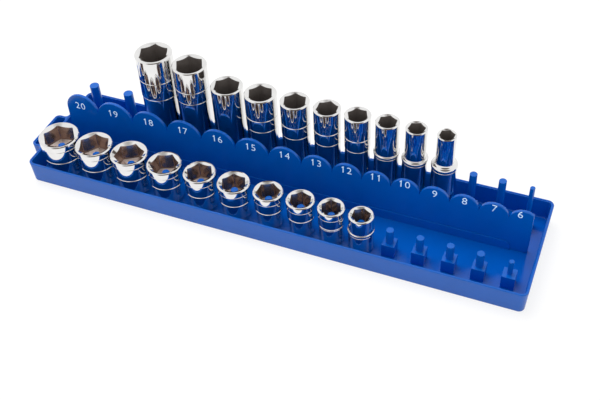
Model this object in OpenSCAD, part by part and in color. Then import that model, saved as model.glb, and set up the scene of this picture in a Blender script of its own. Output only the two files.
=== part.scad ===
// Socket organizer tray for 3/8 inch drive sockets, loaded with a shallow and a deep row.
// The tray stands on z = 0 with its footprint, without the end tab, centred on the origin.
// +X runs along the rows towards the small sizes and +Y from the shallow row to the deep row.

/* [Rows] */
// Widest gap left between two neighbours in a row
socket_gap = 3.5; // [2.8:0.1:8]
// From the largest shallow socket to the rim at its end
large_clear = 4.3; // [3:0.05:15]
// From the last socket that the row could hold to the other end's rim
small_clear = 5.65; // [3.6:0.05:15]
// From the largest shallow socket to the front rim
front_clear = 4.8; // [3.2:0.05:15]
// From the largest shallow socket to the divider's rail
front_aisle = 13.55; // [9:0.05:25]
// From the divider's rail to the largest deep socket
rear_aisle = 5.8; // [4:0.1:15]
// From the largest deep socket to the rear rim
rear_clear = 2.3; // [2.2:0.1:15]

/* [Tray] */
// Height of the rim over the underside
tray_h = 16.8; // [14:0.1:20]
// Thickness of the side walls
wall_t = 1.7; // [1.3:0.1:1.8]
// Thickness of the floor
floor_t = 2; // [1.5:0.1:3]
// Corner radius of the rim
corner_r = 4.5; // [4:0.5:10]
// Radius where the walls meet the underside
bottom_r = 1.5; // [1:0.1:2.8]
// Radius where the walls meet the floor inside
floor_r = 0.9; // [0.4:0.1:1]
// How far the walls lean in from rim to underside
draft = 0.6; // [0.2:0.1:0.8]
// Rounding of the rim's two edges
rim_r = 0.6; // [0.2:0.05:0.65]

/* [End tab] */
// How far the pull tab stands out from the end wall
tab_l = 8.7; // [8:0.1:24]
// Width of the pull tab
tab_w = 34.5; // [24:0.5:38]
// From the front rim to the pull tab
tab_from_front = 18.1; // [14:0.1:24]
// Outer corner radius of the pull tab
tab_r = 3.6; // [3.4:0.1:4.2]
// Hollow corner radius where the tab meets the end wall
tab_root_r = 2.5; // [1:0.1:4]

/* [Number divider] */
// Thickness of the divider plate
plate_t = 2.2; // [1.6:0.1:2.6]
// Backward lean of the divider in degrees
lean = 1.4; // [0:0.1:2]
// Height of the largest bay's crest over the floor
crest_large = 42.5; // [39:0.1:48]
// Height of the smallest bay's crest over the floor
crest_small = 34.6; // [33:0.1:40]
// Height of the valley beside the largest bay over the floor
valley_large = 29.6; // [28:0.1:33]
// Height of the valley beside the smallest bay over the floor
valley_small = 27.2; // [25:0.1:28.6]
// Chamfer along the plate's edges
plate_edge = 0.5; // [0.2:0.05:0.7]
// From the plate's end beside the largest bay to the rim
plate_large_gap = 7.15; // [4:0.05:9]
// From the plate's other end to the rim
plate_small_gap = 8.55; // [4:0.05:9]
// Height of the rail's lips over the floor
rail_h = 6.8; // [4:0.1:10]
// Thickness of each lip of the rail
rail_t = 0.8; // [0.6:0.05:1]
// From the plate's ends to the rail's ends
rail_end_gap = 11.3; // [6:0.1:20]
// Rounding of the rail's upper ends
rail_end_r = 4; // [1:0.1:4]

/* [Posts] */
// Play between a block and each side of the drive hole
block_play = 0.55; // [0.3:0.05:0.8]
// Room between a block's top and the end of the drive hole
block_clear = 1; // [0.6:0.1:2]
// Rounding of a block's upright edges
post_edge_r = 0.4; // [0.2:0.05:1]
// Width of the moulding core under a block
core_w = 5.4; // [4:0.1:6]
// Thickness left over the moulding core
core_roof = 1.6; // [1.2:0.1:3]
// Play round the deep row's thick pins in the 9 mm bore
thick_pin_play = 0.8; // [0.4:0.05:1.5]
// Play round the slimmer pins in the 7 mm bore
mid_pin_play = 0.7; // [0.4:0.05:1.4]
// Play round the slimmest pins in the 6 mm bore
slim_pin_play = 1.05; // [0.4:0.05:1.4]
// Height of the pins over the blocks in the shallow row
front_pin_h = 10.9; // [6:0.1:14]
// Height of the pins over the blocks in the deep row
rear_pin_h = 26.3; // [12:0.1:32]
// Chamfer round a pin's top
pin_edge = 0.4; // [0.1:0.05:0.8]

/* [Socket fits] */
// Width of the square drive hole
drive_square = 9.6; // [9.55:0.05:9.9]
// Depth of the square drive hole
drive_depth = 11; // [10.6:0.1:12]
// Gap left under a seated socket
seat_gap = 0.1; // [0.05:0.05:0.3]
// Extra width of a hexagon over its nominal size
hex_play = 0.1; // [0:0.05:0.2]
// How much narrower the round bore is than the hexagon
relief_step = 0.6; // [0.4:0.1:1]
// Widest round bore of a shallow socket
shallow_relief_d = 12.6; // [11:0.1:14]
// Diameter of the dimples that catch a drive's ball
detent_d = 3.4; // [2:0.1:4]
// Depth of those dimples
detent_depth = 0.6; // [0.2:0.05:0.8]
// Height of the dimples over the socket's foot
detent_z = 5.2; // [4:0.1:6.5]

/* [Socket bodies] */
// Least diameter of a drive end
drive_end_d = 16.6; // [16:0.1:17.2]
// How much slimmer the drive end of a large socket is
drive_end_step = 2.6; // [1:0.1:3]
// How much slimmer the waist is than the rim band
waist_step = 0.5; // [0:0.05:1]
// Chamfer round a socket's foot
foot_edge = 0.6; // [0.3:0.1:1]
// Rounding round a socket's rim
rim_edge = 0.5; // [0.2:0.05:0.55]
// Depth of the turned rings
ring_depth = 0.35; // [0.1:0.05:0.5]
// Half width of the turned rings
ring_half = 0.35; // [0.2:0.05:0.6]
// How far the collar of a small socket stands proud
collar_proud = 0.4; // [0.1:0.05:0.6]
// Height of that collar
collar_h = 1.5; // [0.8:0.1:3]
// Widening of a mouth beyond the hexagon's corners
mouth_play = 0.3; // [0.1:0.05:0.35]

/* [Shallow sockets] */
// Length of the 20, 19 and 18 mm shallow sockets
shallow_long_l = 29.9; // [28:0.1:34]
// Length of the 17 and 16 mm shallow sockets
shallow_mid_l = 29; // [27.5:0.1:34]
// Length of the smaller shallow sockets
shallow_l = 27.7; // [27:0.1:34]
// Height of the drive end of a shallow socket
shallow_end_h = 14; // [12.5:0.1:16]
// Height of a shallow socket's rim band
band_h = 4.7; // [3:0.1:6]
// Depth of a shallow socket's hexagon
shallow_hex_depth = 13; // [10:0.1:14]
// Diameter of the 20 mm shallow socket
shallow_20_d = 27.9; // [27.2:0.1:28.4]
// Diameter of the 19 mm shallow socket
shallow_19_d = 25.8; // [25.6:0.1:26.6]
// Diameter of the 18 mm shallow socket
shallow_18_d = 25.6; // [24.8:0.1:26.4]
// Diameter of the 17 mm shallow socket
shallow_17_d = 23.7; // [23:0.1:25]
// Diameter of the 16 mm shallow socket
shallow_16_d = 22; // [21.8:0.1:24]
// Diameter of the 15 mm shallow socket
shallow_15_d = 22; // [20.6:0.1:23]
// Diameter of the 14 mm shallow socket
shallow_14_d = 19.9; // [19.4:0.1:21]
// Diameter of the 13 mm shallow socket
shallow_13_d = 18.8; // [18:0.1:20]
// Diameter of the 12 mm shallow socket
shallow_12_d = 17.7; // [17:0.1:19]
// Diameter of the 11 mm shallow socket
shallow_11_d = 16.2; // [15.6:0.1:16.4]

/* [Deep sockets] */
// Length of the 18 mm deep socket
deep_18_l = 77.9; // [70:0.1:84]
// Length of the 17 mm deep socket
deep_17_l = 74.7; // [66:0.1:84]
// Length of the smaller deep sockets
deep_l = 63.7; // [60:0.1:80]
// Depth of a deep socket's hexagon
deep_hex_depth = 22; // [14:0.1:25]
// From the rim of a deep socket to its upper ring
upper_ring = 16.2; // [10:0.1:18]
// From the upper ring to the lower ring
ring_gap = 9.3; // [5:0.1:12]
// Height of the drive end of a small deep socket
deep_end_h = 37.3; // [32:0.1:40]
// Diameter of the 18 mm deep socket
deep_18_d = 25.6; // [24.8:0.1:26]
// Diameter of the 17 mm deep socket
deep_17_d = 23.6; // [23:0.1:25]
// Diameter of the 16 mm deep socket
deep_16_d = 21.9; // [21.8:0.1:24]
// Diameter of the 15 mm deep socket
deep_15_d = 21.9; // [20.6:0.1:23]
// Diameter of the 14 mm deep socket
deep_14_d = 19.8; // [19.4:0.1:21]
// Diameter of the 13 mm deep socket
deep_13_d = 18.4; // [18:0.1:20]
// Diameter of the 12 mm deep socket
deep_12_d = 17.5; // [17:0.1:19]
// Diameter of the 11 mm deep socket
deep_11_d = 15.8; // [15.4:0.1:16.4]
// Diameter of the 10 mm deep socket
deep_10_d = 14.2; // [13.9:0.1:15.4]
// Diameter of the 9 mm deep socket
deep_9_d = 12.4; // [12.3:0.1:14]

/* [Hidden] */
$fn = 64;
over = 0.5;
edge_steps = 4;
// Height over width of the slope above a collar
collar_slope = 1.4;

// Widths across flats of the hexagons that the posts are for, and how nodes name them
hex_sizes = [20, 19, 18, 17, 16, 15, 14, 13, 12, 11, 10, 9, 8, 7, 6];
labels = [
    "20", "19", "18", "17", "16", "15", "14", "13", "12", "11", "10", "9", "8", "7", "6"
];
last_post = len(hex_sizes) - 1;

// The deep row starts at the third post, and its thick pins end at the twelfth
deep_first = 2;
last_thick = 11;

shallow_ds = [
    shallow_20_d, shallow_19_d, shallow_18_d, shallow_17_d, shallow_16_d,
    shallow_15_d, shallow_14_d, shallow_13_d, shallow_12_d, shallow_11_d
];
shallow_ls = [
    shallow_long_l, shallow_long_l, shallow_long_l, shallow_mid_l, shallow_mid_l,
    shallow_l, shallow_l, shallow_l, shallow_l, shallow_l
];
deep_ds = [
    deep_18_d, deep_17_d, deep_16_d, deep_15_d, deep_14_d,
    deep_13_d, deep_12_d, deep_11_d, deep_10_d, deep_9_d
];
deep_ls = [
    deep_18_l, deep_17_l, deep_l, deep_l, deep_l, deep_l, deep_l, deep_l, deep_l, deep_l
];

// Turn of each hexagon against its drive square, in degrees
shallow_turns = [12, 8, 10, 20, 0, 26, 0, 30, 30, 0];
deep_turns = [8, 22, 20, 22, 26, 20, 15, 20, 10, 25];

last_shallow = len(shallow_ds) - 1;
last_deep = len(deep_ds) - 1;

// Each post leaves room for the widest socket that goes on it in either row.
// The gaps between such neighbours are shares of the widest gap.
collar_d = drive_end_d + 2 * collar_proud;
room_ds = [
    for (i = [0:last_post]) max(
        collar_d,
        i <= last_shallow ? shallow_ds[i] : 0,
        i >= deep_first && i <= deep_first + last_deep ? deep_ds[i - deep_first] : 0
    )
];
gap_shares = [
    0.312, 0.514, 0.553, 0.986, 0.734, 0.998, 0.888,
    0.753, 0.692, 0.465, 0.6, 0.519, 0.384, 0.36
];
function place_along(i) = i == 0 ? 0 :
    place_along(i - 1) + (room_ds[i - 1] + room_ds[i]) / 2 + socket_gap * gap_shares[i - 1];

// Overall size and the lines that the pieces stand on
large_end = room_ds[0] / 2 + large_clear;
small_end = room_ds[last_post] / 2 + small_clear;
tray_l = large_end + place_along(last_post) + small_end;
front_room = shallow_20_d / 2 + front_clear;
rail_w = 2 * rail_t + plate_t;
row_gap = (shallow_20_d + deep_18_d) / 2 + front_aisle + rail_w + rear_aisle;
tray_w = front_room + row_gap + deep_18_d / 2 + rear_clear;
front_y = front_room - tray_w / 2;
rear_y = front_y + row_gap;
rail_y = front_y + shallow_20_d / 2 + front_aisle;
plate_l = tray_l - plate_large_gap - plate_small_gap;
plate_x = (plate_large_gap - plate_small_gap) / 2;
rail_l = plate_l - 2 * rail_end_gap;

function column_x(i) = large_end - tray_l / 2 + place_along(i);
function lerp(a, b, share) = a + (b - a) * share;

// Moulded tray

tab_y = tab_from_front - tray_w / 2;
tab_x = -tray_l / 2 - tab_l;
half_l = tray_l / 2;
half_w = tray_w / 2;

function drafted(z) = draft * (1 - z / tray_h);

// Profiles of [inset, height] points, from the foot to the rim
function outer_profile() = concat(
    [for (i = [0:edge_steps])
        let (a = 90 * i / edge_steps, z = bottom_r * (1 - cos(a)))
        [drafted(z) + bottom_r * (1 - sin(a)), z]],
    [for (i = [0:edge_steps])
        let (a = 90 * i / edge_steps, z = tray_h - rim_r * (1 - sin(a)))
        [drafted(z) + rim_r * (1 - cos(a)), z]]
);

function pocket_profile() = concat(
    [for (i = [0:edge_steps])
        let (a = 90 * i / edge_steps, z = floor_t + floor_r * (1 - cos(a)))
        [wall_t + drafted(z) + floor_r * (1 - sin(a)), z]],
    [for (i = [0:edge_steps])
        let (a = 90 * i / edge_steps, z = tray_h - rim_r * (1 - sin(a)))
        [wall_t + drafted(z) - rim_r * (1 - cos(a)), z]],
    [[wall_t - rim_r, tray_h + over]]
);

// A block with round corners whose four sides follow a profile
module block(low, high, r, profile) {
    foot = profile[0][1];
    top = profile[len(profile) - 1][1];
    span = high - low - [2 * r, 2 * r];
    section = concat([[0, foot]], [for (p = profile) [r - p[0], p[1]]], [[0, top]]);
    centres = [
        [high[0] - r, high[1] - r], [low[0] + r, high[1] - r],
        [low[0] + r, low[1] + r], [high[0] - r, low[1] + r]
    ];
    for (k = [0:3])
        translate(centres[k]) rotate(90 * k) {
            rotate_extrude(angle = 90) polygon(section);
            rotate([90, 0, 0]) linear_extrude(span[(k + 1) % 2]) polygon(section);
        }
    translate([low[0] + r, low[1] + r, foot]) cube([span[0], span[1], top - foot]);
}

// Hollow corner between the tab and the end wall, to be mirrored for the other side
module root() {
    reach = draft + bottom_r;
    profile = outer_profile();
    translate([-half_l - tab_root_r, -tab_root_r, 0])
        difference() {
            cube([tab_root_r + reach, tab_root_r + reach, tray_h]);
            rotate_extrude()
                polygon(concat(
                    [[0, -over], [tab_root_r + reach, -over]],
                    [for (p = profile) [tab_root_r + p[0], p[1]]],
                    [[tab_root_r + rim_r, tray_h + over], [0, tray_h + over]]
                ));
        }
}

module at_posts(y) {
    for (i = [0:last_post]) translate([column_x(i), y, 0]) children();
}

module core(h) {
    linear_extrude(h) square(core_w, center = true);
}

// Puts its children in the leaning frame of the divider plate, centred on the plate's front face
module in_plate_frame() {
    translate([plate_x, rail_y + rail_t, floor_t]) rotate([-lean, 0, 0]) children();
}

module lip() {
    rotate([90, 0, 0]) linear_extrude(rail_t) {
        translate([-rail_l / 2, -over]) square([rail_l, rail_h - rail_end_r + over]);
        translate([rail_end_r - rail_l / 2, 0]) square([rail_l - 2 * rail_end_r, rail_h]);
        for (side = [-1, 1])
            translate([side * (rail_l / 2 - rail_end_r), rail_h - rail_end_r])
                circle(rail_end_r);
    }
}

module tray() {
    color("#1463b8") {
        difference() {
            union() {
                block([-half_l, -half_w], [half_l, half_w], corner_r, outer_profile());
                block([tab_x, tab_y], [2 * tab_r - half_l, tab_y + tab_w], tab_r,
                    outer_profile());
                translate([0, tab_y, 0]) root();
                translate([0, tab_y + tab_w, 0]) mirror([0, 1, 0]) root();
            }
            block([-half_l, -half_w], [half_l, half_w], corner_r, pocket_profile());
            block([tab_x, tab_y], [wall_t - half_l, tab_y + tab_w], tab_r,
                pocket_profile());
            for (y = [front_y, rear_y])
                at_posts(y) translate([0, 0, -over]) core(floor_t + 2 * over);
        }
        in_plate_frame() {
            lip();
            translate([0, plate_t + rail_t, 0]) lip();
        }
    }
}

// Number divider

// Bay borders lie halfway between two posts. The first bay fills up to the plate's end, and the
// last one, centred on its post, is cut short by it.
last_half = (column_x(last_post) - column_x(last_post - 1)) / 2;
borders = concat(
    [plate_x - plate_l / 2],
    [for (i = [1:last_post]) (column_x(i - 1) + column_x(i)) / 2],
    [column_x(last_post) + last_half]
);

module crest(bay) {
    half = (borders[bay + 1] - borders[bay]) / 2;
    mid = (borders[bay + 1] + borders[bay]) / 2;
    top = lerp(crest_large, crest_small, bay / last_post);
    rise = top - lerp(valley_large, valley_small, bay / last_post);
    r = (half * half + rise * rise) / (2 * rise);
    translate([mid - plate_x, 0, top - r]) rotate([-90, 0, 0])
        rotate_extrude()
            polygon([
                [0, 0], [r - plate_edge, 0], [r, plate_edge],
                [r, plate_t - plate_edge], [r - plate_edge, plate_t], [0, plate_t]
            ]);
}

module plate_section() {
    x = plate_l / 2;
    polygon([
        [-x, plate_edge], [plate_edge - x, 0], [x - plate_edge, 0], [x, plate_edge],
        [x, plate_t - plate_edge], [x - plate_edge, plate_t],
        [plate_edge - x, plate_t], [-x, plate_t - plate_edge]
    ]);
}

module plate_front() {
    x = plate_l / 2;
    polygon([[-x, -over], [x, -over], [x, valley_small], [-x, valley_large]]);
}

module number_divider() {
    color("#0f5cb4")
        difference() {
            in_plate_frame() {
                intersection() {
                    translate([0, 0, -over]) linear_extrude(valley_large + over)
                        plate_section();
                    translate([0, plate_t, 0]) rotate([90, 0, 0]) linear_extrude(plate_t)
                        plate_front();
                }
                intersection() {
                    for (bay = [0:last_post]) crest(bay);
                    linear_extrude(crest_large) plate_section();
                }
            }
            translate([-tray_l / 2, -tray_w / 2, 0]) cube([tray_l, tray_w, floor_t]);
        }
}

// Posts

post_w = drive_square - 2 * block_play;
post_h = seat_gap + drive_depth - block_clear;

module rounded_square(w, r) {
    square([w - 2 * r, w], center = true);
    square([w, w - 2 * r], center = true);
    for (x = [-1, 1], y = [-1, 1])
        translate([x * (w / 2 - r), y * (w / 2 - r)]) circle(r);
}

module post(pin_d, pin_h) {
    difference() {
        linear_extrude(post_h) rounded_square(post_w, post_edge_r);
        translate([0, 0, -over]) core(post_h - core_roof + over);
    }
    translate([0, 0, post_h]) {
        cylinder(d = pin_d, h = pin_h - pin_edge);
        translate([0, 0, pin_h - pin_edge])
            cylinder(d1 = pin_d, d2 = pin_d - 2 * pin_edge, h = pin_edge);
    }
}

module post_row(y, pin_h, pin_ds) {
    for (i = [0:last_post])
        translate([column_x(i), y, floor_t]) post(pin_ds[i], pin_h);
}

// Widths that enter the bore of the post's own size and of all larger ones
function pin_d(i, play) = hex_sizes[i] - relief_step - 2 * play;
thick_pin_d = pin_d(last_thick, thick_pin_play);
mid_pin_d = pin_d(last_post - 1, mid_pin_play);
slim_pin_d = pin_d(last_post, slim_pin_play);

module front_posts() {
    color("#1a6cc4")
        post_row(front_y, front_pin_h,
            [for (i = [0:last_post]) i < last_post ? mid_pin_d : slim_pin_d]);
}

module rear_posts() {
    color("#1a6cc4")
        post_row(rear_y, rear_pin_h,
            [for (i = [0:last_post])
                i <= last_thick ? thick_pin_d : i < last_post ? mid_pin_d : slim_pin_d]);
}

// Sockets

function end_r(d) = max(drive_end_d, d - drive_end_step) / 2;

// A turned ring between a lower and an upper radius
function turned_ring(z, low_r, high_r) = [
    [low_r, z - ring_half], [min(low_r, high_r) - ring_depth, z], [high_r, z + ring_half]
];

function foot_profile(r) = [[0, 0], [r - foot_edge, 0], [r, foot_edge]];

function rim_profile(r, l) = concat(
    [for (i = [0:edge_steps])
        let (a = 90 * i / edge_steps)
        [r - rim_edge * (1 - cos(a)), l - rim_edge * (1 - sin(a))]],
    [[0, l]]
);

// A slim socket widens at a collar into its drive end
function collar_profile(z, r, low_r) =
    let (collar_r = low_r + collar_proud, top = z + ring_half + collar_h)
    concat(
        turned_ring(z, low_r, collar_r),
        [[collar_r, top], [r, top + collar_slope * (collar_r - r)]]
    );

function shallow_profile(d, l) =
    let (r = d / 2, low_r = end_r(d), waist_r = r - waist_step / 2)
    concat(
        foot_profile(low_r),
        d < drive_end_d
            ? collar_profile(shallow_end_h, r, low_r)
            : concat(
                turned_ring(shallow_end_h, low_r, max(low_r, waist_r)),
                turned_ring(l - band_h, max(low_r, waist_r), r)
            ),
        rim_profile(r, l)
    );

function deep_profile(d, l) =
    let (r = d / 2, low_r = end_r(d), waist_r = r - waist_step / 2)
    concat(
        foot_profile(low_r),
        d < drive_end_d
            ? collar_profile(deep_end_h, r, low_r)
            : concat(
                turned_ring(shallow_end_h, low_r, max(low_r, waist_r)),
                turned_ring(l - upper_ring - ring_gap, max(low_r, waist_r), r),
                turned_ring(l - upper_ring, r, r)
            ),
        rim_profile(r, l)
    );

module drive_hole() {
    half = drive_square / 2;
    lead = half / 4;
    translate([0, 0, -over]) linear_extrude(drive_depth + over)
        square(drive_square, center = true);
    translate([0, 0, -over])
        cylinder(r1 = half + lead + over, r2 = half - over, h = lead + 2 * over);
    for (turn = [0, 90])
        translate([0, 0, detent_z]) rotate([90, 0, turn])
            cylinder(d = detent_d, h = drive_square + 2 * detent_depth, center = true);
}

module hex_hole(hex, l, depth, turn, relief_d) {
    flat_r = (hex + hex_play) / 2;
    point_r = flat_r / cos(30);
    mouth_r = point_r + mouth_play;
    mouth_h = (mouth_r - flat_r) * tan(30);
    seat_h = (flat_r - relief_d / 2) * tan(30);
    translate([0, 0, l - depth]) rotate(turn) cylinder(r = point_r, h = depth + over, $fn = 6);
    translate([0, 0, l - mouth_h]) cylinder(r1 = flat_r, r2 = mouth_r, h = mouth_h);
    translate([0, 0, l - depth - seat_h]) cylinder(d1 = relief_d, r2 = flat_r, h = seat_h);
    translate([0, 0, drive_depth - over])
        cylinder(d = relief_d, h = l - depth - drive_depth + over);
}

module socket(post, y, profile, l, depth, turn, relief_d) {
    color("#c4c9cf")
        translate([column_x(post), y, floor_t + seat_gap])
            difference() {
                rotate_extrude() polygon(profile);
                drive_hole();
                hex_hole(hex_sizes[post], l, depth, turn, relief_d);
            }
}

module shallow_socket(i) {
    l = shallow_ls[i];
    socket(i, front_y, shallow_profile(shallow_ds[i], l), l, shallow_hex_depth,
        shallow_turns[i], min(hex_sizes[i] - relief_step, shallow_relief_d));
}

module deep_socket(i) {
    l = deep_ls[i];
    post = i + deep_first;
    socket(post, rear_y, deep_profile(deep_ds[i], l), l, deep_hex_depth,
        deep_turns[i], hex_sizes[post] - relief_step);
}

tray();
number_divider();
front_posts();
rear_posts();
for (i = [0:last_shallow])
    shallow_socket(i);
for (i = [0:last_deep])
    deep_socket(i);
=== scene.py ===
import math

import bmesh
import bpy
from mathutils import Euler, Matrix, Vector


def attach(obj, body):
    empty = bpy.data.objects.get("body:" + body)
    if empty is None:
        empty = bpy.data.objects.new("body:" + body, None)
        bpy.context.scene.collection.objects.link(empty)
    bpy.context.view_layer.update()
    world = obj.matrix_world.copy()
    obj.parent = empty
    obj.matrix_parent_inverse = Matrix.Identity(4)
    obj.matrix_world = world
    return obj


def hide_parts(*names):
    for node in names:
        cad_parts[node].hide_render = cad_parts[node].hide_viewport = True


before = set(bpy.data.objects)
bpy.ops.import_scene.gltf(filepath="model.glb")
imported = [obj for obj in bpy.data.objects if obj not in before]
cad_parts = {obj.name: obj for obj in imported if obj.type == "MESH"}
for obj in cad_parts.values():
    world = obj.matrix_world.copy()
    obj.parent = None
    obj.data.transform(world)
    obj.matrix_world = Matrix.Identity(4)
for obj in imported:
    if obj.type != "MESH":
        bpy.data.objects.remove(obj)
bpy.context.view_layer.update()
mm = 0.001  # sizes below are in millimetres
print("frame loaded with", len(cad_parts), "nodes")

# Where the two rows of posts stand, from the largest size to the smallest
rows = {
    "sizes": list(range(20, 5, -1)),
    "pitches": [27.942, 27.4985, 26.5855, 26.301, 24.569, 24.443, 22.458,
                20.8855, 19.972, 19.0275, 19.5, 19.2165, 18.744, 18.66],
    "largeEnd": 18.25,
    "smallEnd": 14.35,
    "frontRoom": 18.75,
    "gap": 49.9,
    "rearRoom": 15.1,
    "floor": 2.0,
}
trayLength = rows["largeEnd"] + sum(rows["pitches"]) + rows["smallEnd"]
trayWidth = rows["frontRoom"] + rows["gap"] + rows["rearRoom"]
halfLength, halfWidth = trayLength / 2, trayWidth / 2
frontY = rows["frontRoom"] - halfWidth
rearY = frontY + rows["gap"]
columnX = {size: rows["largeEnd"] - halfLength + sum(rows["pitches"][:at])
           for at, size in enumerate(rows["sizes"])}


# Working in object and edit mode

samePlace = 1e-5  # metres within which two places count as one
mergeWithin = 1e-6
flatWithin = math.radians(0.3)
straight = 0.9  # how closely a face or an edge points along an axis


def workOn(piece):
    bpy.ops.object.select_all(action="DESELECT")
    piece.select_set(True)
    bpy.context.view_layer.objects.active = piece


def settle():
    bpy.ops.object.transform_apply(location=True, rotation=True, scale=True)


def settleNew(name):
    settle()
    piece = bpy.context.active_object
    piece.name = piece.data.name = name
    return piece


def openMesh(piece):
    workOn(piece)
    bpy.ops.object.mode_set(mode="EDIT")
    bpy.ops.mesh.select_all(action="DESELECT")


def closeMesh():
    bpy.ops.object.mode_set(mode="OBJECT")


def pickAll():
    bpy.ops.mesh.select_all(action="SELECT")


def pickParts(kind, test):
    bpy.ops.mesh.select_mode(type=kind)
    mesh = bpy.context.edit_object.data
    shape = bmesh.from_edit_mesh(mesh)
    parts = {"FACE": shape.faces, "EDGE": shape.edges, "VERT": shape.verts}[kind]
    for part in parts:
        part.select_set(bool(test(part)))
    if kind == "VERT":
        shape.select_flush(True)
    bmesh.update_edit_mesh(mesh)


def pickFaces(test):
    pickParts("FACE", test)


def pickEdges(test):
    pickParts("EDGE", test)


def pickVerts(test):
    pickParts("VERT", test)


def middle(edge):
    return (edge.verts[0].co + edge.verts[1].co) / 2


def upright(edge):
    way = edge.verts[1].co - edge.verts[0].co
    return abs(way.z) > straight * way.length


def bothAt(edge, height):
    return all(abs(vert.co.z - height * mm) < samePlace for vert in edge.verts)


def facesDown(face):
    return face.normal.z < -straight


def facesUp(face):
    return face.normal.z > straight


def bevelPicked(width, segments):
    bpy.ops.mesh.bevel(offset=width * mm, segments=segments, affect="EDGES")


def extrudePicked(x, y, z):
    bpy.ops.mesh.extrude_region_move(
        TRANSFORM_OT_translate={"value": (x * mm, y * mm, z * mm)})


def turnPicked(degrees, axis, centre=(0, 0, 0)):
    bpy.ops.transform.rotate(value=math.radians(degrees), orient_axis=axis,
                             center_override=[part * mm for part in centre])


def turnOutwards():
    pickAll()
    bpy.ops.mesh.normals_make_consistent(inside=False)


def addBox(name, low, high):
    low, high = Vector(low) * mm, Vector(high) * mm
    bpy.ops.object.select_all(action="DESELECT")
    bpy.ops.mesh.primitive_cube_add(size=1, location=(low + high) / 2, scale=high - low)
    return settleNew(name)


def addRod(name, radius, low, high, sides):
    bpy.ops.object.select_all(action="DESELECT")
    bpy.ops.mesh.primitive_cylinder_add(vertices=sides, radius=radius * mm,
                                        depth=(high - low) * mm,
                                        location=(0, 0, (low + high) / 2 * mm))
    return settleNew(name)


def copyOf(piece, name, shift):
    twin = piece.copy()
    twin.data = piece.data.copy()
    twin.name = twin.data.name = name
    bpy.context.scene.collection.objects.link(twin)
    workOn(twin)
    twin.location = Vector(shift) * mm
    settle()
    return twin


def moveMesh(piece, shift):
    openMesh(piece)
    pickAll()
    bpy.ops.transform.translate(value=[part * mm for part in shift])
    closeMesh()
    return piece


def joinAll(pieces, name):
    workOn(pieces[0])
    for piece in pieces:
        piece.select_set(True)
    bpy.ops.object.join()
    pieces[0].name = pieces[0].data.name = name
    return pieces[0]


def combine(piece, tool, operation, keepTool=False):
    workOn(piece)
    cut = piece.modifiers.new("combine", "BOOLEAN")
    cut.operation, cut.object, cut.solver = operation, tool, "EXACT"
    bpy.ops.object.modifier_apply(modifier=cut.name)
    if not keepTool:
        bpy.data.objects.remove(tool)


def softenEdges(piece, width, segments, angle):
    workOn(piece)
    soft = piece.modifiers.new("soften", "BEVEL")
    soft.width, soft.segments = width * mm, segments
    soft.limit_method, soft.angle_limit = "ANGLE", math.radians(angle)
    soft.use_clamp_overlap = False
    soft.miter_outer = "MITER_ARC"
    bpy.ops.object.modifier_apply(modifier=soft.name)


def shade(piece, angle=32):
    workOn(piece)
    bpy.ops.object.shade_smooth_by_angle(angle=math.radians(angle))
    even = piece.modifiers.new("even", "WEIGHTED_NORMAL")
    even.keep_sharp = True
    bpy.ops.object.modifier_apply(modifier=even.name)


def convexSteps(radius, count):
    turns = [math.pi / 2 * at / count for at in range(count + 1)]
    return [(radius * (math.cos(a) - math.cos(b)), radius * (math.sin(b) - math.sin(a)))
            for a, b in zip(turns, turns[1:])]


def concaveSteps(radius, count):
    return [(inward, along) for along, inward in reversed(convexSteps(radius, count))]


def growFace(piece, test, steps, mitred=True):
    openMesh(piece)
    pickFaces(test)
    for inward, along in steps:
        bpy.ops.mesh.inset(thickness=inward * mm, depth=along * mm, use_even_offset=mitred)
    closeMesh()


# Materials

# each noise: (scale, detail) or (scale, detail, roughness)
plastic = {
    "cloud": (55, 3), "deeper": 0.92, "grain": (900, 5), "smoothest": 0.85, "roughest": 1.2,
    "bumps": (700, 3), "bump": 0.02, "bumpHeight": 0.0002, "ior": 1.44,
    "trayColour": (0.0, 0.119, 0.56), "trayRoughness": 0.14,
    "postColour": (0.0, 0.127, 0.58), "postRoughness": 0.18,
}
steel = {
    "cloud": (120, 4), "smear": (420, 6, 0.6), "smoothest": 0.7, "roughest": 1.5,
    "waves": (90, 2), "waveHeight": 0.0004,
}
# name: (colour, worn colour, roughness, waviness, share of metal)
steelFinishes = {
    "socketChrome": ((0.83, 0.825, 0.815), (0.76, 0.755, 0.75), 0.04, 0.012, 1.0),
    "boreSteel": ((0.29, 0.255, 0.235), (0.22, 0.192, 0.178), 0.5, 0.03, 0.45),
    "hexSteel": ((0.67, 0.52, 0.43), (0.42, 0.32, 0.28), 0.16, 0.02, 0.85),
    # the seat's steel is really rougher, and its paler colour is painted light falling in from the
    # opening onto the up-facing seat
    "seatSteelWithPaintedLight": ((0.8, 0.68, 0.62), (0.66, 0.55, 0.5), 0.35, 0.02, 0.7),
}
# the ink glows a little: painted light that makes the printed numbers brighter than their lighting
# makes them
ink = {
    "colour": (0.68, 0.83, 0.97), "worn": (0.6, 0.78, 0.94), "cloud": (700, 4),
    "smoothest": 0.42, "roughest": 0.55, "paintedGlowColour": (0.6, 0.83, 1), "glow": 0.4,
    "bumps": (2400, 2), "bump": 0.05, "bumpHeight": 0.0001,
}
contrast = {"low": 0.3, "high": 0.7}


def startMaterial(name):
    material = bpy.data.materials.new(name)
    material.use_nodes = True
    tree = material.node_tree
    shader = next(n for n in tree.nodes if n.type == "BSDF_PRINCIPLED")
    place = tree.nodes.new("ShaderNodeTexCoord")
    return material, tree, shader, place.outputs["Object"]


def noiseOn(tree, place, scale, detail, roughness=0.5):
    noise = tree.nodes.new("ShaderNodeTexNoise")
    noise.inputs["Scale"].default_value = scale
    noise.inputs["Detail"].default_value = detail
    noise.inputs["Roughness"].default_value = roughness
    tree.links.new(place, noise.inputs["Vector"])
    return noise.outputs["Fac"]


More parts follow.
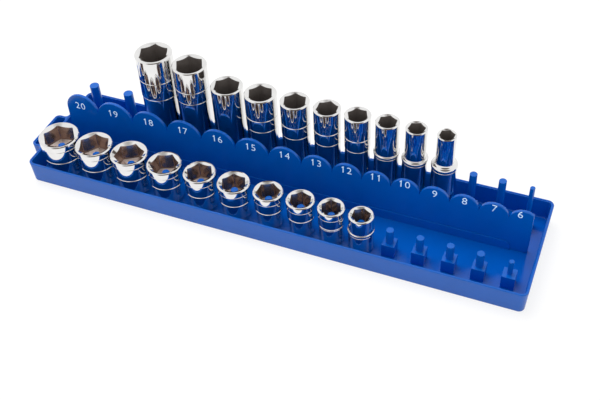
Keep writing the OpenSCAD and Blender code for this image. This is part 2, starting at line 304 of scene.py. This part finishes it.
def spread(tree, value, low, high):
    span = tree.nodes.new("ShaderNodeMapRange")
    span.inputs["From Min"].default_value = contrast["low"]
    span.inputs["From Max"].default_value = contrast["high"]
    span.inputs["To Min"].default_value = low
    span.inputs["To Max"].default_value = high
    tree.links.new(value, span.inputs["Value"])
    return span.outputs["Result"]


def blendColours(tree, value, first, second, low, high):
    ramp = tree.nodes.new("ShaderNodeValToRGB")
    ramp.color_ramp.elements[0].position = low
    ramp.color_ramp.elements[1].position = high
    ramp.color_ramp.elements[0].color = (*first, 1)
    ramp.color_ramp.elements[1].color = (*second, 1)
    tree.links.new(value, ramp.inputs["Fac"])
    return ramp.outputs["Color"]


def cloudColour(tree, shader, value, first, second):
    colour = blendColours(tree, value, first, second, contrast["low"], contrast["high"])
    tree.links.new(colour, shader.inputs["Base Color"])


def cloudRoughness(tree, shader, value, low, high):
    tree.links.new(spread(tree, value, low, high), shader.inputs["Roughness"])


def addBump(tree, shader, value, strength, distance):
    bump = tree.nodes.new("ShaderNodeBump")
    bump.inputs["Strength"].default_value = strength
    bump.inputs["Distance"].default_value = distance
    tree.links.new(value, bump.inputs["Height"])
    tree.links.new(bump.outputs["Normal"], shader.inputs["Normal"])


def mouldedPlastic(name, colour, roughness):
    material, tree, shader, place = startMaterial(name)
    deeper = [part * plastic["deeper"] for part in colour]
    cloudColour(tree, shader, noiseOn(tree, place, *plastic["cloud"]), deeper, colour)
    cloudRoughness(tree, shader, noiseOn(tree, place, *plastic["grain"]),
                   roughness * plastic["smoothest"], roughness * plastic["roughest"])
    addBump(tree, shader, noiseOn(tree, place, *plastic["bumps"]),
            plastic["bump"], plastic["bumpHeight"])
    shader.inputs["IOR"].default_value = plastic["ior"]
    return material


def platedSteel(name, colour, worn, roughness, waviness, metal):
    material, tree, shader, place = startMaterial(name)
    shader.inputs["Metallic"].default_value = metal
    cloudColour(tree, shader, noiseOn(tree, place, *steel["cloud"]), worn, colour)
    smear = noiseOn(tree, place, *steel["smear"])
    cloudRoughness(tree, shader, smear,
                   roughness * steel["smoothest"], roughness * steel["roughest"])
    addBump(tree, shader, noiseOn(tree, place, *steel["waves"]),
            waviness, steel["waveHeight"])
    return material


def printedInk(name):
    material, tree, shader, place = startMaterial(name)
    cloud = noiseOn(tree, place, *ink["cloud"])
    cloudColour(tree, shader, cloud, ink["worn"], ink["colour"])
    cloudRoughness(tree, shader, cloud, ink["smoothest"], ink["roughest"])
    # painted light: a faint glow on the printed numbers
    shader.inputs["Emission Color"].default_value = (*ink["paintedGlowColour"], 1)
    shader.inputs["Emission Strength"].default_value = ink["glow"]
    addBump(tree, shader, noiseOn(tree, place, *ink["bumps"]),
            ink["bump"], ink["bumpHeight"])
    return material


trayPlastic = mouldedPlastic("trayPlastic", plastic["trayColour"], plastic["trayRoughness"])
postPlastic = mouldedPlastic("postPlastic", plastic["postColour"], plastic["postRoughness"])
socketChrome, boreSteel, hexSteel, seatSteelWithPaintedLight = (
    platedSteel(name, *values) for name, values in steelFinishes.items())
numberInk = printedInk("numberInk")


def finishPiece(piece, materials, body, nodes):
    for material in materials:
        piece.data.materials.append(material)
    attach(piece, body)
    if nodes:
        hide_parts(*nodes)


# Tray shell

tray = {
    "height": 16.8, "wall": 1.7, "corner": 4.5, "cornerSteps": 12,
    "footRound": 1.5, "footSteps": 6, "floorRound": 0.9, "floorSteps": 4,
    "draft": 0.6, "pocketDraft": 0.48, "rimRound": 0.6, "rimSteps": 5, "startBand": 0.5,
    "tabLength": 8.7, "tabWidth": 34.5, "tabFromFront": 18.1, "tabCorner": 3.6,
    "tabRoot": 2.5, "tabRootSteps": 8, "tabOverlap": 5,
    "coreWidth": 5.4, "coreSpare": 1,
}
tabFront = tray["tabFromFront"] - halfWidth
tabBack = tabFront + tray["tabWidth"]
tabEnd = -halfLength - tray["tabLength"]


def makePocket(low, high, corner):
    rim, top = tray["rimRound"], tray["height"]
    pocket = addBox("pocket", (low[0] - rim, low[1] - rim, top),
                    (high[0] + rim, high[1] + rim, top + tray["startBand"]))
    openMesh(pocket)
    pickEdges(upright)
    bevelPicked(corner + rim, tray["cornerSteps"])
    closeMesh()
    depth = top - rows["floor"] - rim - tray["floorRound"]
    growFace(pocket, facesDown,
             concaveSteps(rim, tray["rimSteps"]) + [(tray["pocketDraft"], depth)]
             + convexSteps(tray["floorRound"], tray["floorSteps"]))
    return pocket


def roundCorners(shell):
    openMesh(shell)
    pickEdges(lambda edge: upright(edge)
              and abs(abs(middle(edge).x) - halfLength * mm) < samePlace
              and abs(abs(middle(edge).y) - halfWidth * mm) < samePlace)
    bevelPicked(tray["corner"], tray["cornerSteps"])
    pickEdges(lambda edge: upright(edge) and abs(middle(edge).x - tabEnd * mm) < samePlace)
    bevelPicked(tray["tabCorner"], tray["cornerSteps"])
    pickEdges(lambda edge: upright(edge)
              and abs(middle(edge).x + halfLength * mm) < samePlace
              and min(abs(middle(edge).y - y * mm) for y in (tabFront, tabBack)) < samePlace)
    bevelPicked(tray["tabRoot"], tray["tabRootSteps"])
    closeMesh()


def makeTray():
    high = tray["height"] - tray["rimRound"]
    low = high - tray["startBand"]
    shell = addBox("trayShell", (-halfLength, -halfWidth, low), (halfLength, halfWidth, high))
    tab = addBox("tab", (tabEnd, tabFront, low),
                 (tray["tabOverlap"] - halfLength, tabBack, high))
    combine(shell, tab, "UNION")
    openMesh(shell)
    pickAll()
    bpy.ops.mesh.remove_doubles(threshold=mergeWithin)
    pickAll()
    bpy.ops.mesh.dissolve_limited(angle_limit=flatWithin)
    closeMesh()
    roundCorners(shell)
    growFace(shell, facesUp, convexSteps(tray["rimRound"], tray["rimSteps"]))
    growFace(shell, facesDown, [(tray["draft"], low - tray["footRound"])]
             + convexSteps(tray["footRound"], tray["footSteps"]))
    wall = tray["wall"]
    combine(shell, makePocket((wall - halfLength, wall - halfWidth),
                              (halfLength - wall, halfWidth - wall),
                              tray["corner"] - wall), "DIFFERENCE")
    combine(shell, makePocket((tabEnd + wall, tabFront + wall), (-halfLength, tabBack - wall),
                              tray["tabCorner"] - wall), "DIFFERENCE")
    half, spare = tray["coreWidth"] / 2, tray["coreSpare"]
    core = addBox("core", (-half, -half, -spare), (half, half, rows["floor"] + spare))
    cores = [copyOf(core, "core", (columnX[size], y, 0))
             for size in rows["sizes"] for y in (frontY, rearY)]
    bpy.data.objects.remove(core)
    combine(shell, joinAll(cores, "cores"), "DIFFERENCE")
    shade(shell)
    finishPiece(shell, [trayPlastic], "tray", ["tray"])


makeTray()
print("tray shell made")


# Number divider and its rail

divider = {
    "set": 27.5, "thickness": 2.2, "lean": 1.4,
    "crests": (42.5, 34.6), "valleys": (29.6, 27.2),
    "largeGap": 7.15, "smallGap": 8.55, "edge": 0.5, "edgeSteps": 4, "arcSteps": 22,
    "cuspReach": 1, "cuspHalvings": 30,
    "railHeight": 6.8, "railThickness": 0.8, "railEndGap": 11.3, "railEndRound": 4.0,
    "railEndSteps": 10, "railSink": 0.2, "railEdge": 0.2, "railEdgeSteps": 2, "railEdgeAngle": 50,
}
plateFront = frontY + divider["set"] + divider["railThickness"]
plateLow = divider["largeGap"] - halfLength
plateHigh = halfLength - divider["smallGap"]


def leanBack(piece):
    openMesh(piece)
    pickAll()
    turnPicked(divider["lean"], "X", (0, plateFront, rows["floor"]))
    closeMesh()


def share(pair, bay):
    return pair[0] + (pair[1] - pair[0]) * bay / (len(rows["sizes"]) - 1)


def heightOn(arc, x):
    centreX, centreZ, radius = arc
    return centreZ + math.sqrt(max(radius ** 2 - (x - centreX) ** 2, 0))


def cuspBetween(left, right, border):
    near, far = border - divider["cuspReach"], border + divider["cuspReach"]
    for _ in range(divider["cuspHalvings"]):
        middleX = (near + far) / 2
        if heightOn(left, middleX) > heightOn(right, middleX):
            near = middleX
        else:
            far = middleX
    return near


def scallops():
    xs = [columnX[size] for size in rows["sizes"]]
    # the last bay is centred on its post and cut short by the plate's end
    lastBorder = 1.5 * xs[-1] - 0.5 * xs[-2]
    borders = [plateLow] + [(a + b) / 2 for a, b in zip(xs, xs[1:])] + [lastBorder]
    arcs = []
    for bay in range(len(xs)):
        half = (borders[bay + 1] - borders[bay]) / 2
        crest = share(divider["crests"], bay)
        rise = crest - share(divider["valleys"], bay)
        radius = (half * half + rise * rise) / (2 * rise)
        arcs.append((borders[bay] + half, rows["floor"] + crest - radius, radius))
    cusps = [plateLow] + [cuspBetween(left, right, border)
                          for left, right, border in zip(arcs, arcs[1:], borders[1:])]
    line = []
    for arc, start, end in zip(arcs, cusps, cusps[1:] + [plateHigh]):
        first, last = (math.acos(max(-1, min(1, (x - arc[0]) / arc[2]))) for x in (start, end))
        for step in range(divider["arcSteps"] + 1):
            turn = first + (last - first) * step / divider["arcSteps"]
            line.append((arc[0] + arc[2] * math.cos(turn), arc[1] + arc[2] * math.sin(turn)))
        if end != plateHigh:
            line.pop()
    return line


def makeDivider():
    line = scallops()
    edge, floor = divider["edge"], rows["floor"]
    bpy.ops.object.select_all(action="DESELECT")
    bpy.ops.mesh.primitive_grid_add(x_subdivisions=len(line) - 1, y_subdivisions=1, size=1,
                                    rotation=(math.pi / 2, 0, 0),
                                    location=(0, (plateFront + edge) * mm, 0.5 + floor * mm))
    plate = settleNew("numberDivider")
    places = [vert.co.copy() for vert in plate.data.vertices]
    openMesh(plate)
    # the grid is a metre wide and high, and each of its columns moves to a point of the line
    for at, (x, z) in enumerate(line):
        oldX = at / (len(line) - 1) - 0.5
        column = {i for i, co in enumerate(places) if abs(co.x - oldX) < samePlace}
        top = {i for i in column if places[i].z > 0.5}
        pickVerts(lambda vert: vert.index in column)
        bpy.ops.transform.translate(value=(x * mm - oldX, 0, 0))
        pickVerts(lambda vert: vert.index in top)
        bpy.ops.transform.translate(value=(0, 0, z * mm - 1 - floor * mm))
    pickAll()
    bpy.ops.mesh.dissolve_limited(angle_limit=flatWithin)
    pickAll()
    extrudePicked(0, divider["thickness"] - 2 * edge, 0)
    turnOutwards()
    closeMesh()
    for way in (-1, 1):
        growFace(plate, lambda face: face.normal.y * way > straight,
                 convexSteps(edge, divider["edgeSteps"]), False)
    leanBack(plate)
    shade(plate)
    finishPiece(plate, [trayPlastic], "tray", ["number_divider"])


def makeRail():
    start, end = plateLow + divider["railEndGap"], plateHigh - divider["railEndGap"]
    thick, low = divider["railThickness"], rows["floor"] - divider["railSink"]
    top = rows["floor"] + divider["railHeight"]
    lip = addBox("dividerRail", (start, plateFront - thick, low), (end, plateFront, top))
    openMesh(lip)
    pickEdges(lambda edge: bothAt(edge, top)
              and abs(edge.verts[0].co.x - edge.verts[1].co.x) < samePlace)
    bevelPicked(divider["railEndRound"], divider["railEndSteps"])
    closeMesh()
    softenEdges(lip, divider["railEdge"], divider["railEdgeSteps"], divider["railEdgeAngle"])
    rear = copyOf(lip, "rearLip", (0, divider["thickness"] + thick, 0))
    rail = joinAll([lip, rear], "dividerRail")
    leanBack(rail)
    shade(rail)
    finishPiece(rail, [trayPlastic], "tray", [])


makeDivider()
makeRail()
print("divider and rail made")


# Printed numbers

numbers = {
    "height": 5.3, "stretch": 0.97, "bold": -0.008, "curveSteps": 6, "textSize": 10,
    "thickness": 0.12, "proud": 0.03,
    "stroke": 0.58, "barShift": 0.15, "flag": 1.7, "flagTurn": 35, "flagInset": 0.01,
    "flagDrop": 0.05, "pitch": 4.4, "pairShift": -0.5,
    "centreWide": 33.5, "centreSlim": 31.6, "shifts": {20: 0.9, 19: -0.5, 6: -2.5},
}


def makeOne():
    half, top, thick = numbers["stroke"] / 2, numbers["height"] / 2, numbers["thickness"]
    inset, drop = numbers["flagInset"], numbers["flagDrop"]
    bar = addBox("digit", (-half, -thick, -top), (half, 0, top))
    flag = addBox("flag", (-numbers["flag"], inset - thick, -2 * half), (0, -inset, 0))
    openMesh(flag)
    pickAll()
    turnPicked(numbers["flagTurn"], "Y")
    bpy.ops.transform.translate(value=((half - drop) * mm, 0, (top - drop) * mm))
    closeMesh()
    combine(bar, flag, "UNION")
    return moveMesh(bar, (numbers["barShift"], 0, 0))


def makeDigit(char):
    bpy.ops.object.select_all(action="DESELECT")
    bpy.ops.object.text_add()
    word = bpy.context.active_object
    word.data.body = char
    word.data.resolution_u = numbers["curveSteps"]
    word.data.size = numbers["textSize"] * mm
    word.data.offset = numbers["bold"] * word.data.size
    bpy.ops.object.convert(target="MESH")
    digit = bpy.context.active_object
    grow = numbers["height"] * mm / digit.dimensions.y
    openMesh(digit)
    pickAll()
    bpy.ops.mesh.remove_doubles(threshold=mergeWithin)
    bpy.ops.transform.resize(value=(grow * numbers["stretch"], grow, 1), center_override=(0, 0, 0))
    extrudePicked(0, 0, numbers["thickness"])
    turnOutwards()
    closeMesh()
    digit.rotation_euler = (math.pi / 2, 0, 0)
    settle()
    corners = [vert.co / mm for vert in digit.data.vertices]
    midX = (min(c.x for c in corners) + max(c.x for c in corners)) / 2
    midZ = (min(c.z for c in corners) + max(c.z for c in corners)) / 2
    return moveMesh(digit, (-midX, 0, -midZ))


def makeNumbers():
    patterns = {char: makeOne() if char == "1" else makeDigit(char) for char in "0123456789"}
    made = []
    for size in rows["sizes"]:
        word = str(size)
        pairs = len(word) - 1
        middleX = columnX[size] + numbers["shifts"].get(size, 0) + pairs * numbers["pairShift"]
        height = numbers["centreWide"] if pairs else numbers["centreSlim"]
        for at, char in enumerate(word):
            place = (middleX + (at - pairs / 2) * numbers["pitch"],
                     plateFront + numbers["thickness"] - numbers["proud"],
                     rows["floor"] + height)
            made.append(copyOf(patterns[char], "digit", place))
    for pattern in patterns.values():
        bpy.data.objects.remove(pattern)
    words = joinAll(made, "sizeNumbers")
    leanBack(words)
    finishPiece(words, [numberInk], "tray", [])


makeNumbers()
print("numbers made")


# Posts

posts = {
    "block": 8.5, "blockHeight": 10.1, "blockEdge": 0.4, "topEdge": 0.25, "topEdgeSteps": 3,
    "core": 5.4, "coreHeight": 8.5, "pinSides": 48, "pinSink": 1,
    "thickPin": 6.8, "midPin": 5.0, "slimPin": 3.3, "wideDownTo": 9, "midDownTo": 7,
    "frontPin": 10.9, "rearPin": 26.3, "pinEdge": 0.4, "edgeSteps": 4, "sharpTurn": 0.7,
}


def makePost(pinWidth, pinHeight):
    half, foot = posts["block"] / 2, rows["floor"]
    top = foot + posts["blockHeight"]
    post = addBox("post", (-half, -half, foot), (half, half, top))
    openMesh(post)
    pickEdges(upright)
    bevelPicked(posts["blockEdge"], posts["edgeSteps"])
    pickFaces(facesDown)
    bpy.ops.mesh.inset(thickness=(posts["block"] - posts["core"]) / 2 * mm)
    extrudePicked(0, 0, posts["coreHeight"])
    closeMesh()
    pin = addRod("pin", pinWidth / 2, top - posts["pinSink"], top + pinHeight, posts["pinSides"])
    combine(post, pin, "UNION")
    openMesh(post)
    pickEdges(lambda edge: bothAt(edge, top + pinHeight))
    bevelPicked(posts["pinEdge"], posts["edgeSteps"])
    pickEdges(lambda edge: bothAt(edge, top) and len(edge.link_faces) == 2
              and edge.calc_face_angle() > posts["sharpTurn"]
              and middle(edge).xy.length > half * straight * mm)
    bevelPicked(posts["topEdge"], posts["topEdgeSteps"])
    closeMesh()
    shade(post)
    return post


def pinFor(size, wideWidth):
    if size >= posts["wideDownTo"]:
        return wideWidth
    return posts["midPin"] if size >= posts["midDownTo"] else posts["slimPin"]


def makePostRow(name, y, pinHeight, wideWidth, node):
    patterns = {}
    made = []
    for size in rows["sizes"]:
        width = pinFor(size, wideWidth)
        if width not in patterns:
            patterns[width] = makePost(width, pinHeight)
        made.append(copyOf(patterns[width], "post", (columnX[size], y, 0)))
    for pattern in patterns.values():
        bpy.data.objects.remove(pattern)
    finishPiece(joinAll(made, name), [postPlastic], "tray", [node])


makePostRow("frontPosts", frontY, posts["frontPin"], posts["midPin"], "front_posts")
makePostRow("rearPosts", rearY, posts["rearPin"], posts["thickPin"], "rear_posts")
print("posts made")


# Sockets

sockets = {
    "sides": 96, "seat": 0.1, "smoothAngle": 22, "levelFace": 0.99, "slopedFace": 0.3,
    "driveEnd": 16.6, "driveStep": 2.6,
    "foot": 0.6, "footLow": 0.42, "footStep": 0.15, "footTop": 0.85,
    "rim": 0.5, "rimEdge": 0.05, "rimCut": 0.03, "rimLand": 0.02,
    "waist": 0.5, "ringDepth": 0.22, "ringHalf": 0.24, "ringFlank": 0.4, "ringFloor": 0.06,
    "collar": 0.4, "collarFoot": 0.1, "collarLow": 0.7, "collarHeight": 1.5, "collarTop": 0.1,
    "collarBend": 71, "collarSteps": 6,
    "land": 1.25, "mouthPlay": 0.3, "mouthEdge": 0.05, "mouthStep": 0.06,
    "shallowSlope": 29, "deepSlope": 30,
    "relief": 0.6, "shallowRelief": 12.6, "reliefSink": 0.5,
    "hexPlay": 0.1, "hexEdge": 0.5, "hexEdgeSteps": 4, "hexRise": 1, "seatPlay": 0.4,
    "shallowHex": 13.0, "deepHex": 22.0,
    "drive": 9.6, "driveLead": 1.2, "driveDepth": 11.0, "driveEdge": 0.3, "driveEdgeSteps": 2,
    "detent": 3.4, "detentDepth": 0.6, "detentHeight": 5.2, "detentSides": 24,
    "endHeight": 14.0, "endGap": 1.3, "band": 4.7, "deepEnd": 37.3,
    "deepRings": (25.5, 16.2), "otherRings": {18: (31.6, 17.6), 16: ()},
}
# size: (outside diameter, length, turn of the hexagon)
shallowSockets = {
    20: (27.9, 29.9, 8), 19: (25.8, 29.9, 54), 18: (25.6, 29.9, 33), 17: (23.7, 29.0, 23),
    16: (22.0, 29.0, 59), 15: (22.0, 27.7, 54), 14: (19.9, 27.7, 27), 13: (18.8, 27.7, 43),
    12: (17.7, 27.7, 51), 11: (16.2, 27.7, 32),
}
deepSockets = {
    18: (25.6, 77.9, 50), 17: (23.6, 74.7, 57), 16: (21.9, 63.7, 45), 15: (21.9, 63.7, 53),
    14: (19.8, 63.7, 47), 13: (18.4, 63.7, 31), 12: (17.5, 63.7, 55), 11: (15.8, 63.7, 32),
    10: (14.2, 63.7, 21), 9: (12.4, 63.7, 24),
}


def ringAt(height, lowR, highR):
    deepR = min(lowR, highR) - sockets["ringDepth"]
    return [(lowR, height - sockets["ringFlank"]), (deepR, height - sockets["ringFloor"]),
            (deepR, height + sockets["ringFloor"]), (highR, height + sockets["ringHalf"])]


def collarOn(radius, lowR, height):
    collarR = lowR + sockets["collar"]
    top = height + sockets["ringHalf"] + sockets["collarHeight"]
    steps, turn = sockets["collarSteps"], math.radians(sockets["collarBend"])
    bend = (collarR - radius) / 2 / (1 - math.cos(turn))
    line = ringAt(height, lowR, collarR - sockets["collarFoot"])
    line += [(collarR, height + sockets["collarLow"]), (collarR, top - sockets["collarTop"])]
    line += [(collarR - bend * (1 - math.cos(turn * at / steps)),
              top + bend * math.sin(turn * at / steps)) for at in range(1, steps + 1)]
    line += [(radius + bend * (1 - math.cos(turn * at / steps)),
              top + bend * (2 * math.sin(turn) - math.sin(turn * at / steps)))
             for at in range(steps - 1, -1, -1)]
    return line


def ringsOn(size, radius, lowR, length, deep):
    drops = sockets["otherRings"].get(size, sockets["deepRings"]) if deep else ()
    waistR = radius
    if drops or not deep:
        waistR = max(lowR, radius - sockets["waist"] / 2)
    line = ringAt(sockets["endHeight"], lowR, waistR)
    for at, drop in enumerate(drops):
        line += ringAt(length - drop, radius if at else waistR, radius)
    if not deep:
        line += ringAt(sockets["endHeight"] + sockets["endGap"], waistR, waistR)
        line += ringAt(length - sockets["band"], waistR, radius)
    return line


def outsideOf(size, width, length, deep):
    radius = width / 2
    lowR = max(sockets["driveEnd"], width - sockets["driveStep"]) / 2
    line = [(lowR - sockets["foot"], 0), (lowR - sockets["footStep"], sockets["footLow"]),
            (lowR, sockets["footTop"])]
    if width < sockets["driveEnd"]:
        line += collarOn(radius, lowR, sockets["deepEnd"] if deep else sockets["endHeight"])
    else:
        line += ringsOn(size, radius, lowR, length, deep)
    rim, edge, cut = sockets["rim"], sockets["rimEdge"], sockets["rimCut"]
    line += [(radius, length - rim), (radius - edge, length - rim + cut),
             (radius - rim + cut, length - edge), (radius - rim - sockets["rimLand"], length)]
    return line


def turnOnLathe(name, line):
    bpy.ops.object.select_all(action="DESELECT")
    bpy.ops.mesh.primitive_circle_add(vertices=sockets["sides"], radius=line[0][0] * mm,
                                      fill_type="NGON", location=(0, 0, line[0][1] * mm))
    piece = settleNew(name)
    bpy.ops.object.mode_set(mode="EDIT")
    pickAll()
    for (oldR, oldZ), (newR, newZ) in zip(line, line[1:]):
        extrudePicked(0, 0, newZ - oldZ)
        if newR != oldR:
            bpy.ops.transform.resize(value=(newR / oldR, newR / oldR, 1))
    turnOutwards()
    closeMesh()
    return piece


def makeDriveTool():
    half, lead = sockets["drive"] / 2, sockets["driveLead"]
    tool = addBox("driveTool", (-half, -half, lead), (half, half, sockets["driveDepth"]))
    openMesh(tool)
    pickEdges(upright)
    bevelPicked(sockets["driveEdge"], sockets["driveEdgeSteps"])
    pickFaces(facesDown)
    for _ in range(2):  # the lead-in, and the same again past the foot
        extrudePicked(0, 0, -lead)
        grow = (half + lead) / half
        bpy.ops.transform.resize(value=(grow, grow, 1))
        half += lead
    closeMesh()
    for turn in (0, math.pi / 2):
        bpy.ops.object.select_all(action="DESELECT")
        bpy.ops.mesh.primitive_cylinder_add(
            vertices=sockets["detentSides"], radius=sockets["detent"] / 2 * mm,
            depth=(sockets["drive"] + 2 * sockets["detentDepth"]) * mm,
            rotation=(math.pi / 2, 0, turn), location=(0, 0, sockets["detentHeight"] * mm))
        combine(tool, settleNew("detent"), "UNION")
    return tool


def makeHexTool(flatR, pointR, length, depth, turn, reliefR):
    tool = addRod("hexTool", pointR, length - depth, length + sockets["hexRise"], 6)
    openMesh(tool)
    pickEdges(upright)
    bevelPicked(sockets["hexEdge"], sockets["hexEdgeSteps"])
    pickFaces(facesDown)
    endR = reliefR - sockets["seatPlay"]
    extrudePicked(0, 0, -(flatR - endR) * math.tan(math.pi / 6))
    bpy.ops.transform.resize(value=(endR / pointR, endR / pointR, 1))
    pickAll()
    # a cylinder's first corner lies on +Y, and the hexagon's turn counts from +X
    turnPicked(90 - turn, "Z")
    closeMesh()
    return tool


def makeSocket(name, size, y, values, deep, driveTool, node):
    width, length, turn = values
    depth = sockets["deepHex"] if deep else sockets["shallowHex"]
    slope = math.radians(sockets["deepSlope"] if deep else sockets["shallowSlope"])
    reliefR = (size - sockets["relief"]) / 2
    flatR = (size + sockets["hexPlay"]) / 2
    pointR = flatR / math.cos(math.pi / 6)
    mouthR = pointR + sockets["mouthPlay"]
    if not deep:
        reliefR = min(reliefR, sockets["shallowRelief"] / 2)
        mouthR = max(mouthR, width / 2 - sockets["land"])
    mouthDrop = (mouthR - reliefR) * math.tan(slope)
    line = outsideOf(size, width, length, deep)
    line += [(mouthR + sockets["mouthStep"], length), (mouthR, length - sockets["mouthEdge"]),
             (reliefR, length - mouthDrop),
             (reliefR, sockets["driveDepth"] - sockets["reliefSink"])]
    piece = turnOnLathe(name, line)
    combine(piece, makeHexTool(flatR, pointR, length, depth, turn, reliefR), "DIFFERENCE")
    combine(piece, driveTool, "DIFFERENCE", keepTool=True)
    for face in piece.data.polygons:
        level = face.normal.z > sockets["levelFace"]
        inward = face.normal.xy.dot(face.center.xy) < 0 or level
        inside = inward and face.center.z < (length - sockets["rimLand"]) * mm
        sloped = face.normal.z > sockets["slopedFace"]
        leadIn = sloped and face.center.z > (length - mouthDrop) * mm
        seat = sloped and not deep
        # 0 is chrome, 1 the hexagon or bore, 2 the seat, in a rougher steel whose paler colour is
        # painted light falling in from the opening
        face.material_index = 0 if leadIn or not inside else 2 if seat else 1
    shade(piece, sockets["smoothAngle"])
    piece.location = (columnX[size] * mm, y * mm, (rows["floor"] + sockets["seat"]) * mm)
    settle()
    finishPiece(piece, [socketChrome, boreSteel if deep else hexSteel, seatSteelWithPaintedLight],
                node, [node])


driveTool = makeDriveTool()
for size, values in shallowSockets.items():
    makeSocket(f"shallowSocket{size}", size, frontY, values, False, driveTool,
               f"shallow_socket_{size}")
for size, values in deepSockets.items():
    makeSocket(f"deepSocket{size}", size, rearY, values, True, driveTool, f"deep_socket_{size}")
bpy.data.objects.remove(driveTool)
print("sockets made")


# Floor, studio light and camera

studio = {
    "floorSize": 6000, "floorColour": (0.86, 0.855, 0.845), "floorGlow": 1.12, "glowShare": 0.72,
    "skyLevel": 0.55, "mirrorLevel": 1.0,
    "darkAxis": (0.27, -0.55, 0.79), "darkColour": (0.14, 0.115, 0.1), "darkRange": (0.8, 0.92),
    "keyPower": 9.0, "keySize": 900, "keyPlace": (-350, 250, 1100),
    "fillPower": 1.5, "fillSize": 700, "fillPlace": (500, -900, 700), "aim": (0, 0, 20),
}
view = {
    "place": (192.461, -397.055, 441.65),
    "turn": (44.7842, 2.3783, 21.9079),
    "lens": 54.923, "sensor": 36, "nearest": 10,
}


def newNode(tree, kind, **values):
    node = tree.nodes.new(kind)
    for name, value in values.items():
        node.inputs[name].default_value = value
    return node


def mathOn(tree, operation, first, second):
    node = tree.nodes.new("ShaderNodeMath")
    node.operation = operation
    tree.links.new(first, node.inputs[0])
    if isinstance(second, float):
        node.inputs[1].default_value = second
    else:
        tree.links.new(second, node.inputs[1])
    return node.outputs[0]


def mixShaders(tree, amount, first, second):
    mix = tree.nodes.new("ShaderNodeMixShader")
    tree.links.new(amount, mix.inputs["Fac"])
    tree.links.new(first.outputs[0], mix.inputs[1])
    tree.links.new(second.outputs[0], mix.inputs[2])
    return mix


def makeFloor():
    bpy.ops.object.select_all(action="DESELECT")
    bpy.ops.mesh.primitive_plane_add(size=studio["floorSize"] * mm, location=(0, 0, 0))
    floor = bpy.context.active_object
    floor.name = "studioFloor"
    material = bpy.data.materials.new("studioPaper")
    material.use_nodes = True
    tree = material.node_tree
    tree.nodes.clear()
    paper = newNode(tree, "ShaderNodeBsdfDiffuse", Color=(*studio["floorColour"], 1))
    glow = newNode(tree, "ShaderNodeEmission", Color=(1, 1, 1, 1), Strength=studio["floorGlow"])
    rays = tree.nodes.new("ShaderNodeLightPath").outputs
    seen = mathOn(tree, "MAXIMUM", rays["Is Camera Ray"], rays["Is Glossy Ray"])
    mix = mixShaders(tree, mathOn(tree, "MULTIPLY", seen, studio["glowShare"]), paper, glow)
    out = tree.nodes.new("ShaderNodeOutputMaterial")
    tree.links.new(mix.outputs[0], out.inputs["Surface"])
    floor.data.materials.append(material)


def makeSky():
    world = bpy.data.worlds.new("studioSky")
    bpy.context.scene.world = world
    world.use_nodes = True
    tree = world.node_tree
    tree.nodes.clear()
    place = tree.nodes.new("ShaderNodeTexCoord")
    along = tree.nodes.new("ShaderNodeVectorMath")
    along.operation = "DOT_PRODUCT"
    along.inputs[1].default_value = studio["darkAxis"]
    tree.links.new(place.outputs["Generated"], along.inputs[0])
    zone = blendColours(tree, along.outputs["Value"], (1, 1, 1), studio["darkColour"],
                        *studio["darkRange"])
    mirrored = newNode(tree, "ShaderNodeBackground", Strength=studio["mirrorLevel"])
    tree.links.new(zone, mirrored.inputs["Color"])
    even = newNode(tree, "ShaderNodeBackground", Color=(1, 1, 1, 1), Strength=studio["skyLevel"])
    white = newNode(tree, "ShaderNodeBackground", Color=(1, 1, 1, 1))
    rays = tree.nodes.new("ShaderNodeLightPath").outputs
    glossy = mathOn(tree, "MAXIMUM", rays["Is Glossy Ray"], rays["Is Transmission Ray"])
    lit = mixShaders(tree, glossy, even, mirrored)
    sky = mixShaders(tree, rays["Is Camera Ray"], lit, white)
    out = tree.nodes.new("ShaderNodeOutputWorld")
    tree.links.new(sky.outputs[0], out.inputs["Surface"])


def addLamp(name, power, size, place):
    bpy.ops.object.select_all(action="DESELECT")
    bpy.ops.object.light_add(type="AREA", location=Vector(place) * mm)
    lamp = bpy.context.active_object
    lamp.name = name
    lamp.data.energy = power
    lamp.data.size = size * mm
    way = (Vector(studio["aim"]) - Vector(place)) * mm
    lamp.rotation_euler = way.to_track_quat("-Z", "Y").to_euler()
    lamp.visible_glossy = False  # metal mirrors the studio, not the lamps


def makeCamera():
    bpy.ops.object.select_all(action="DESELECT")
    bpy.ops.object.camera_add(location=Vector(view["place"]) * mm,
                              rotation=Euler([math.radians(a) for a in view["turn"]]))
    camera = bpy.context.active_object
    camera.data.lens = view["lens"]
    camera.data.sensor_width = view["sensor"]
    camera.data.clip_start = view["nearest"] * mm
    bpy.context.scene.camera = camera


makeFloor()
makeSky()
addLamp("keyLamp", studio["keyPower"], studio["keySize"], studio["keyPlace"])
addLamp("fillLamp", studio["fillPower"], studio["fillSize"], studio["fillPlace"])
makeCamera()
bpy.context.scene.view_settings.view_transform = "Standard"
print("stage made")
